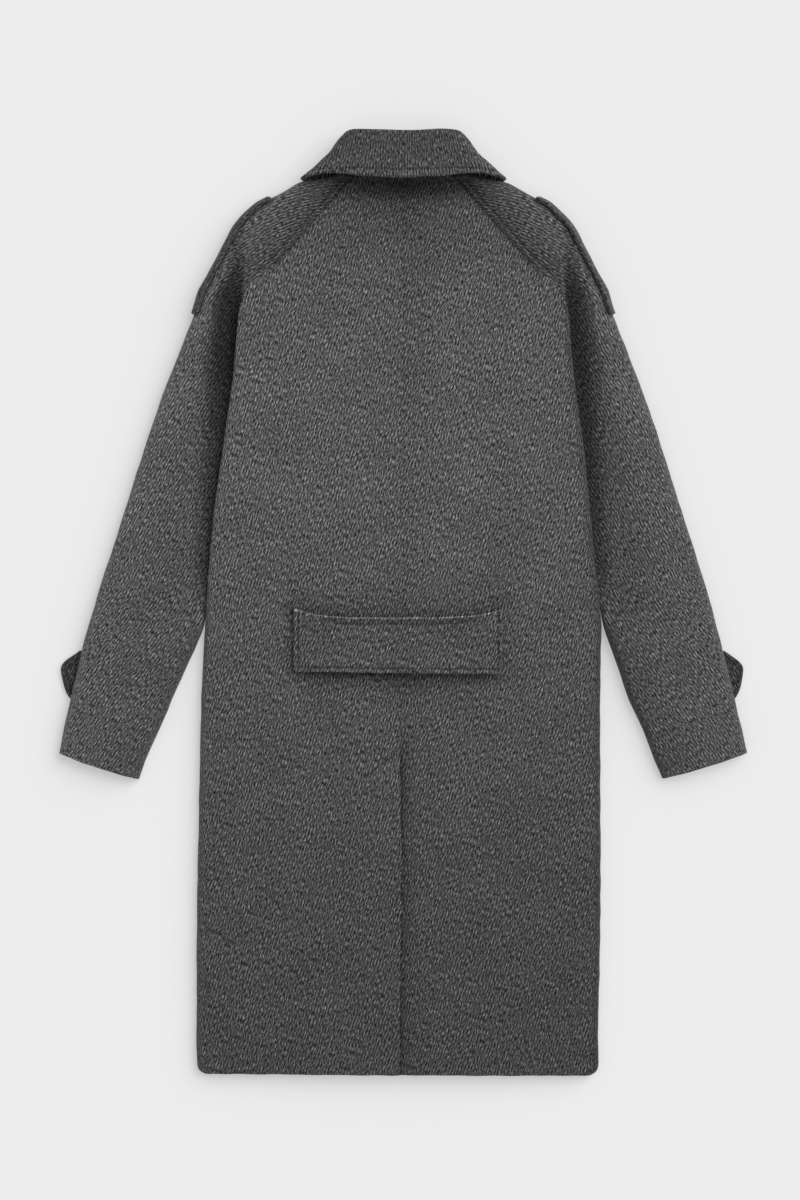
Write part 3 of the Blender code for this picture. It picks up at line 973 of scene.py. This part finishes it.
# %% [markdown]
# ## Sewn lines
#
# For the shader's thin lines each piece gets its distances from a seam, a row of stitches and a welt, and
# a large distance where it has none. A strap or tab is stitched all round near its edge, which here only
# shows on the tip of the cuff tabs. The stitches that hold the top of the vent run down from the seam at a
# slant.

# %% Distances from seams, stitches and welts
FAR = 1000.0
WELT_IN = 0.6  # the top welt's ridge, in from the belt's edge
FAINT = 1.9  # added to the distances from the other welts, which hardly show
VENT_STITCH = ((-52.0, -223.0), (-30.0, -208.0), (-8.0, -192.0))
VENT_LENGTH = math.dist(VENT_STITCH[0], VENT_STITCH[-1])
TAB_EDGE = ((409.6, -64.0), (429.0, -79.0), (434.5, -86.5), (432.0, -96.0), (425.0, -121.0))
TAB_STITCH = 4.6


def pushed_off(distance, lost):
    """Distances from a line, made larger where the line is lost."""
    return distance + np.copysign(FAR * lost, distance)


def sewn_of(node, points):
    """Distances of a piece's points from its seams, its stitches and its welts."""
    seam, stitch, welt = (np.full(len(points), FAR) for _ in range(3))
    kind = kind_of(node)
    if kind in ("back", "sleeve_back"):
        across, sewn = raglan_at(points, side_of(node))
        seam = pushed_off(across, 1 - sewn)
        stitch = pushed_off(across - RAGLAN_STITCH, 1 - sewn)
    if node == "back_left":
        along, across = beside_line(points, VENT_STITCH)
        lost = (along < 0) | (along > VENT_LENGTH)
        stitch = np.where(points[:, 1] < 0, pushed_off(across, lost), stitch)
    if node == "half_belt":
        top, bottom, end = belt_margins(points)
        hidden_row = FAR * (1 - belt_middle(end))
        stitch = np.minimum.reduce((top - TOP_ROW + hidden_row, bottom - BOTTOM_ROW, end - END_ROW))
        faint = np.minimum(np.abs(bottom - BOTTOM_WELT.inward), np.abs(end - END_WELT.inward)) + FAINT
        welt = np.minimum(top - WELT_IN, faint)
    if node == "collar":
        stitch = collar_sewn(points)
    if kind == "cuff_tab":
        stitch = beside_line(mirrored(points, side_of(node)), TAB_EDGE)[1] + TAB_STITCH
    return np.stack((seam, stitch, welt), axis=1)


print("sewn lines: raglan seams, vent, half-belt, collar and cuff tabs")

# %% [markdown]
# ## Tone
#
# The tone is mostly painted light and shade. Painted shade darkens the cloth in a fold's trough, where it
# lies away from the light and where it sits against another piece. At an outer edge it gets painted light
# or painted shade, with the way that the edge faces. Painted light falls from the shoulders to the hem,
# and a few soft patches of painted shade and a painted highlight lie on the back. Each kind of piece has a
# short function for its own tone.

# %% Tone from one place to another
# painted light: lightest on the upper back and upper arm, darker towards the hem, the cuffs and the shoulders
BODY_PAINTED_LIGHT = ((-601.0, 0.59), (-330.0, 0.70), (-60.0, 0.86), (150.0, 0.98), (380.0, 0.98), (500.0, 0.86))
SLEEVE_PAINTED_LIGHT = ((-220.0, 0.83), (0.0, 0.86), (250.0, 0.92), (400.0, 0.87), (520.0, 0.74))
COLLAR_TONE = ((0.0, 0.78), (10.0, 0.78), (20.0, 0.70), (50.0, 0.60))
BELT_TONE = 0.77
# painted shade: the straps and tabs lie low beside and under the sleeves' rolls
STRAP_PAINTED_SHADE_TONE = {"epaulette": 0.62, "cuff_tab": 0.5}
# painted light where positive and painted shade where negative, at an outer edge, with the way that it faces
EDGE_PAINTED_LIGHT = {"sleeve_back_left": 0.5, "sleeve_back_right": 0.0, "back_left": 0.25, "back_right": -0.42}
# painted shade on a sleeve's edge towards the body
INNER_EDGE_PAINTED_SHADE = -0.25  # on a sleeve's edge towards the body
EDGE_LEAN = 0.4  # sideways lean of the cloth where its edge's tone is full
Patch = namedtuple("Patch", "x y reach tone")
# painted shade where the tone is negative, and a painted highlight on the vent's stitched ridge
PAINTED_PATCHES = (Patch(135.0, 90.0, 42.0, -0.10), Patch(-28.0, -222.0, 13.0, 0.14), Patch(5.0, -110.0, 22.0, -0.16))


def painted_patch_tone(points):
    """Soft patches of painted shade, and a painted highlight on the ridge at the top of the vent."""
    tone = np.ones(len(points))
    for patch in PAINTED_PATCHES:
        tone += patch.tone * bell(np.hypot(points[:, 0] - patch.x, points[:, 1] - patch.y), patch.reach)
    return tone


def edge_painted_light(node):
    """Painted light and shade where the cloth turns down at an edge, with the way that it faces."""
    lean = side_of(node) * read_normals(node)[:, 0] / EDGE_LEAN
    inner = 0.0
    if kind_of(node) == "sleeve_back":
        inner = INNER_EDGE_PAINTED_SHADE * (1 - trough(read_points(node), TROUGH_MARGIN)[1])
    return 1 + EDGE_PAINTED_LIGHT[node] * np.clip(lean, 0, 1) + inner * np.clip(-lean, 0, 1)


print("tone %.2f at the hem, %.2f on the back" % (BODY_PAINTED_LIGHT[0][1], BODY_PAINTED_LIGHT[3][1]))

# %% [markdown]
# Where one piece lies over another, light hardly reaches the cloth beside it. These strips of shade are at
# the collar, round the half-belt, beside the vent's edge and along the shoulder straps. The strap's strip
# needs its distance from the strap, which a search tree of the strap's faces gives.

# %% Shade beside other pieces
NECK_Y = 525.0
NECK_WIDTH = 98.0
NECK_SHADE = 0.46  # the dark strip below the collar
NECK_LENGTH = 16.0
NECK_WIDE_SHADE = 0.30  # the soft shade round it
NECK_WIDE_LENGTH = 60.0
RIM_SHADE = 0.22  # the soft shade all round the half-belt
RIM_REACH = 9.0
ABOVE_SHADE = 0.24  # the wider shade above it
ABOVE_REACH = 24.0
BELOW_SHADE = 0.42  # the shadow below it
BELOW_REACH = 11.0
VENT_SHADE = 0.62
VENT_REACH = 6.0
STRAP_SHADE = 0.75
STRAP_REACH = 2.8
STRAP_LOW = 340.0  # the straps lie above this height of the coat


def neck_shade(points):
    """Shade below the collar."""
    x, y = points[:, 0], points[:, 1] - NECK_Y
    shade = NECK_SHADE * bell(y, NECK_LENGTH) + NECK_WIDE_SHADE * bell(y, NECK_WIDE_LENGTH)
    return 1 - shade * plateau(x, NECK_WIDTH)


def belt_shade(points):
    """Shade round the half-belt, and its shadow."""
    top, bottom, end = belt_margins(points)
    outside = np.clip(-np.minimum.reduce((top, bottom, end)), 0, None)
    below = np.clip(-bottom, 0, None)
    above = np.clip(-top, 0, None)
    shade = RIM_SHADE * np.exp(-outside / RIM_REACH)
    shade += ABOVE_SHADE * (above > 0) * np.exp(-above / ABOVE_REACH) * ease(1 + end / ABOVE_REACH)
    shadow = BELOW_SHADE * (below > 0) * np.exp(-below / BELOW_REACH) * ease(end / LIFT_REACH)
    return (1 - shade) * (1 - shadow)


def vent_shade(points):
    """Shade beside the edge that laps over the vent."""
    out, sewn = centre_at(points)
    return 1 - VENT_SHADE * (1 - sewn) * np.exp(-np.abs(out) / VENT_REACH)


def strap_shade(points, strap):
    """Shade on a sleeve along its shoulder strap."""
    tree = BVHTree.FromObject(pieces[strap], bpy.context.evaluated_depsgraph_get())
    shade = np.ones(len(points))
    for index in np.flatnonzero(points[:, 1] > STRAP_LOW):
        distance = tree.find_nearest(Vector(points[index] * MM))[3] / MM
        shade[index] -= STRAP_SHADE * bell(distance, STRAP_REACH)
    return shade


print("shade reaches %.0f mm round the half-belt" % RIM_REACH)

# %% [markdown]
# Now each piece gets its attributes. The sleeve's trough gets painted shade, darkest on its floor and a
# little less so right at the fold, where the roll's edge still catches light. The left trough lies away
# from the key light but looks wider than the right one, so its painted shade reaches further out.

# %% Tone of each piece
# painted shade on the trough's floor, by height
TROUGH_PAINTED_SHADE = {
    "left": ((0.0, 0.55), (193.0, 0.62), (307.0, 0.80), (387.0, 0.80), (425.0, 0.60)),
    "right": ((0.0, 0.62), (193.0, 0.68), (387.0, 0.68), (425.0, 0.60)),
}
# how much further out the trough's painted shade reaches
WIDER = {"left": ((193.0, 8.0), (387.0, 8.0), (425.0, 1.0)), "right": ((0.0, -2.5), (425.0, -2.5))}
FOLD_EDGE = ((47.0, 0.95), (193.0, 0.90), (307.0, 0.72))  # share of the trough's painted shade right at the fold
FOLD_EDGE_REACH = 8.0
SEAM_TONE = 0.17  # soft shade along the raglan seam
SEAM_TONE_WIDTH = 11.0
# painted shade in a soft band along the centre seam, with a thin darker line on the seam itself
CENTRE_PAINTED_SHADE = ((-31.0, 0.02), (150.0, 0.06), (330.0, 0.12), (500.0, 0.12))
CENTRE_SHADE = 32.0
CENTRE_LINE = 0.04
CENTRE_LINE_WIDTH = 3.0
# painted shade in the hollow below the half-belt's top welt
TOP_HOLLOW_PAINTED_SHADE = 0.18


def sleeve_tone(node, points):
    """Tone of a sleeve's back: painted light along it, painted shade in its trough and beside its strap, and
    painted light and shade at its edges.
    """
    word = node.rpartition("_")[2]
    y = points[:, 1]
    row = fold_at(y)
    share = trough(points, level(WIDER[word], y))[1] * np.clip(row.dip / DEEP, 0, 1)
    at_fold = level(FOLD_EDGE, y)
    share *= at_fold + (1 - at_fold) * ease((np.abs(points[:, 0]) - row.x) / FOLD_EDGE_REACH)
    tone = level(SLEEVE_PAINTED_LIGHT, y) * (1 - level(TROUGH_PAINTED_SHADE[word], y) * share)
    return tone * edge_painted_light(node) * strap_shade(points, "epaulette_" + word)


def back_tone(node, points):
    """Tone of a back panel: painted light from the shoulders to the hem, painted shade along the centre seam,
    round the half-belt and beside the vent, and painted patches and edges.
    """
    y = points[:, 1]
    out, sewn = centre_at(points)
    seam = level(CENTRE_PAINTED_SHADE, y) * bell(out, CENTRE_SHADE) + CENTRE_LINE * sewn * bell(out, CENTRE_LINE_WIDTH)
    tone = level(BODY_PAINTED_LIGHT, y) * (1 - seam) * belt_shade(points) * painted_patch_tone(points) * edge_painted_light(node)
    return tone * vent_shade(points) if node == "back_right" else tone


def tone_of(node, points):
    """The tone of a piece at each point, mostly painted light and shade."""
    kind = kind_of(node)
    if kind in STRAP_PAINTED_SHADE_TONE:
        return np.full(len(points), STRAP_PAINTED_SHADE_TONE[kind])
    if kind == "collar":
        return level(COLLAR_TONE, collar_inward(points))
    if kind == "half_belt":
        top, _, end = belt_margins(points)
        hollow_share = belt_middle(end) * bell(top - TOP_HOLLOW.inward, TOP_HOLLOW.width)
        return BELT_TONE * (1 - TOP_HOLLOW_PAINTED_SHADE * hollow_share)
    if kind in ("front", "sleeve_front"):
        return level(BODY_PAINTED_LIGHT, points[:, 1])
    across, sewn = raglan_at(points, side_of(node))
    seam = 1 - SEAM_TONE * sewn * bell(across - RAGLAN_STITCH / 2, SEAM_TONE_WIDTH)
    own = sleeve_tone(node, points) if kind == "sleeve_back" else back_tone(node, points)
    return own * seam * neck_shade(points)


# the largest share of painted shade in a trough
print("nap pressed by up to %.0f%%" % (100 * max(share for rows in TROUGH_PAINTED_SHADE.values() for _, share in rows)))

# %% Paint the pieces
def paint(node):
    """Stores the grain, tone and sewn lines of a piece on its points, and gives it the wool."""
    mesh = pieces[node].data
    points = read_points(node)
    along, across = grain_of(node)
    grain = np.stack((along, across, np.zeros_like(along)), axis=1)
    for name, rows in (("grain", grain), ("sewn", sewn_of(node, points))):
        mesh.attributes.new(name, "FLOAT_VECTOR", "POINT").data.foreach_set("vector", (rows * MM).ravel())
    mesh.attributes.new("tone", "FLOAT", "POINT").data.foreach_set("value", tone_of(node, points))
    mesh.materials.clear()
    mesh.materials.append(charcoal_wool)


for node in pieces:
    paint(node)
print("grain, sewn lines and tone set on", len(pieces), "pieces")

# %% [markdown]
# ## Topstitching
#
# The raglan seams, the collar, the half-belt and the top of the vent are topstitched. Each stitch is a
# short thread that dips into the cloth at both ends, so it is a small flattened sphere, laid on the cloth
# by a ray from above. The stitches of one cloth piece join into one mesh.

# %% Stitches along lines
STITCH = 4.2
STITCH_GAP = 1.3
THREAD = 0.42
THREAD_SIDES = 6
THREAD_RINGS = 5
SUNK = 0.15
ABOVE = 1.0  # rays start this many metres up
DOWN = Vector((0, 0, -1))
ROW_POINTS = 60  # points along the belt's curved row


def cover(node):
    """A function that gives the height of a piece at a place, from above."""
    tree = BVHTree.FromObject(pieces[node], bpy.context.evaluated_depsgraph_get())

    def height(x, y):
        hit = tree.ray_cast(Vector((x * MM, y * MM, ABOVE)), DOWN)[0]
        return None if hit is None else hit.z / MM

    return height


def moved_left(line, offset):
    """A line moved to its left."""
    ahead = headings(line)[0]
    return line + offset * np.stack((-ahead[:, 1], ahead[:, 0]), axis=1)


def sew(thread, line, height):
    """Stitches along one line, added to the thread's mesh. Returns how many."""
    lengths = np.concatenate(([0.0], np.cumsum(np.linalg.norm(np.diff(line, axis=0), axis=1))))
    count = 0
    for start in np.arange(0.0, lengths[-1] - STITCH, STITCH + STITCH_GAP):
        ends = []
        for length in (start, start + STITCH):
            x, y = (np.interp(length, lengths, line[:, axis]) for axis in (0, 1))
            ends.append((x, y, height(x, y)))
        if any(z is None for _, _, z in ends):
            continue
        first, second = (Vector((x, y, z - SUNK)) for x, y, z in ends)
        turn = (second - first).to_track_quat("X", "Z").to_matrix().to_4x4()
        size = Matrix.Diagonal(((second - first).length / 2, THREAD, THREAD, 1.0))
        place = Matrix.Scale(MM, 4) @ Matrix.Translation((first + second) / 2) @ turn @ size
        bmesh.ops.create_uvsphere(thread, u_segments=THREAD_SIDES, v_segments=THREAD_RINGS, radius=1.0,
                                  matrix=place)
        count += 1
    return count


print("stitches %.1f mm long, %.1f mm apart" % (STITCH, STITCH_GAP))

# %% [markdown]
# The thread is a dark polyester, a little smoother than the wool, with the faint slant of its two plies.

# %% The thread
PLY_SCALE = 900.0
PLY_DISTORTION = 1.0
THREAD_ROUGHNESS = 0.7
THREAD_STOPS = ((0.2, 0.012), (0.9, 0.046))


def thread_finish():
    """Dark twisted thread."""
    material, shader, start = new_finish("topstitch_thread")
    place = start.node("ShaderNodeTexCoord", {}, {}, output="Object")
    plies = start.node("ShaderNodeTexWave", {"bands_direction": "DIAGONAL"},
                       {"Vector": place, "Scale": PLY_SCALE, "Distortion": PLY_DISTORTION})
    ramp = start.node("ShaderNodeValToRGB", {"stops": THREAD_STOPS}, {"Fac": plies})
    start.fill(shader, {"Base Color": ramp, "Roughness": THREAD_ROUGHNESS})
    return material


dark_thread = thread_finish()
print("thread", dark_thread.name)

# %% [markdown]
# The rows themselves follow the lines that the grooves were drawn from. Those of the raglan seams are
# mirrored, and the belt's top row keeps its distance from the sagging edge.

# %% Rows of stitches on each piece
def belt_rows():
    """The belt's rows: below its top edge, above its bottom edge and beside both ends."""
    x = np.linspace(BELT_LEFT + HOLLOW_END, BELT_RIGHT - HOLLOW_END, ROW_POINTS)
    low, high = BELT_BOTTOM + BOTTOM_ROW, BELT_TOP - END_ROW
    left, right = BELT_LEFT + END_ROW, BELT_RIGHT - END_ROW
    yield np.stack((x, belt_top(x) - TOP_ROW), axis=1)
    for corners in (((left, low), (right, low)), ((left, low), (left, high)), ((right, low), (right, high))):
        yield smooth_line(corners)


def stitched(node, rows):
    """A mesh of all stitches on one piece."""
    thread = bmesh.new()
    height = cover(node)
    count = sum(sew(thread, row, height) for row in rows)
    piece = mesh_object("topstitching_" + node, thread)
    piece.data.shade_smooth()
    piece.data.materials.append(dark_thread)
    print(piece.name, count)
    return piece


raglan_line = smooth_line(RAGLAN)
raglan_row = moved_left(raglan_line, RAGLAN_STITCH)[:int(RAGLAN_END / LINE_STEP)]
ROWS = {
    "sleeve_back_left": (raglan_row * (-1.0, 1.0),),
    "sleeve_back_right": (raglan_row,),
    "collar": (smooth_line(COLLAR_SEWN),),
    "half_belt": tuple(belt_rows()),
    "back_left": (smooth_line(VENT_STITCH),),
}
threads = {node: stitched(node, rows) for node, rows in ROWS.items()}

# %% [markdown]
# ## Floor and light
#
# The coat lies on a plain pale ground, wide enough to reach the horizon in low views. A little of its
# brightness is a glow of its own, as of paper lit from behind, which keeps the coat's shadow soft.

# %% The ground
GROUND = 40.0
GROUND_LEVEL = -0.4 * MM
GROUND_GLOW = 0.34
GROUND_CELLS = 4
PAPER_GREY = (0.55, 0.55, 0.55, 1.0)
PAPER_ROUGHNESS = 0.9
WHITE = (1.0, 1.0, 1.0, 1.0)

shape = bmesh.new()
bmesh.ops.create_grid(shape, x_segments=GROUND_CELLS, y_segments=GROUND_CELLS, size=GROUND,
                      matrix=Matrix.Translation((0, 0, GROUND_LEVEL)))
ground = mesh_object("ground", shape)
ground_paper, paper, start = new_finish("ground_paper")
start.fill(paper, {"Base Color": PAPER_GREY, "Emission Color": WHITE, "Emission Strength": GROUND_GLOW,
                   "Roughness": PAPER_ROUGHNESS, "Specular IOR Level": 0.0})
ground.data.materials.append(ground_paper)
print("ground %.0f m wide" % (2 * GROUND))

# %% [markdown]
# A wide lamp above the collar and to the right throws the collar's and the belt's shadows down the back,
# and the coat's own shadow to its left and below its hem. The rest is even light from all round, which
# leaves only the deep folds dark.

# %% Lamps
KEY_FROM = Vector((0.80, 0.58, 0.70))
KEY_ANGLE = math.radians(60)
KEY_STRENGTH = 2.14
SKY = 0.53

key = add_object("key", bpy.data.lights.new("key", "SUN"))
key.data.angle = KEY_ANGLE
key.data.energy = KEY_STRENGTH
key.location = KEY_FROM
key.rotation_euler = KEY_FROM.to_track_quat("Z", "Y").to_euler()
sky = bpy.data.worlds.new("sky")
sky.use_nodes = True
glow = sky.node_tree.nodes["Background"]
glow.inputs["Color"].default_value = WHITE
glow.inputs["Strength"].default_value = SKY
bpy.context.scene.world = sky
bpy.context.scene.view_settings.view_transform = "Standard"
print("key %.2f, sky %.2f" % (KEY_STRENGTH, SKY))

# %% [markdown]
# ## What each piece is
#
# Every cloth piece stands for its solid, which is hidden, and rides on the coat's one body. A table gives
# each piece the size that it was cut to, without seam allowances: the width and length of the cloth that it
# is cut from and, because no piece is a plain rectangle, its own area, and what it rests on. Collar, straps,
# tabs and half-belt count once, although their cloth is doubled. Each piece prints its cut area beside
# the area of one side of its skin.

Cut = namedtuple("Cut", "width length area rests_on")
CUTS = {
    "front_left": Cut(0.297, 1.153, 0.302, ("ground", "collar")),
    "front_right": Cut(0.296, 1.153, 0.303, ("ground", "collar")),
    "back_left": Cut(0.262, 1.153, 0.270, ("front_left",)),
    "back_right": Cut(0.301, 1.153, 0.285, ("front_right", "front_left")),
    "collar": Cut(0.100, 0.620, 0.053, ("ground", "back_left", "back_right")),
    "half_belt": Cut(0.080, 0.265, 0.021, ("back_left", "back_right")),
}
for word in SIDES:
    CUTS["sleeve_front_" + word] = Cut(0.160, 0.850, 0.080, ("epaulette_" + word, "cuff_tab_" + word))
    CUTS["sleeve_back_" + word] = Cut(0.165, 0.850, 0.087, ("sleeve_front_" + word,))
    CUTS["epaulette_" + word] = Cut(0.055, 0.190, 0.009, ("ground",))
    CUTS["cuff_tab_" + word] = Cut(0.055, 0.105, 0.005, ("ground",))


def cloth_area(piece):
    """Area of one side of a closed skin."""
    return sum(face.area for face in piece.data.polygons) / 2


for node, piece in pieces.items():
    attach(piece, "root")
    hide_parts(node)
    cut = CUTS[node]
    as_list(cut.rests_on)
    print(node, "cut %.3f m2, laid %.3f m2" % (cut.area, cloth_area(piece)))
for thread in threads.values():
    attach(thread, "root")
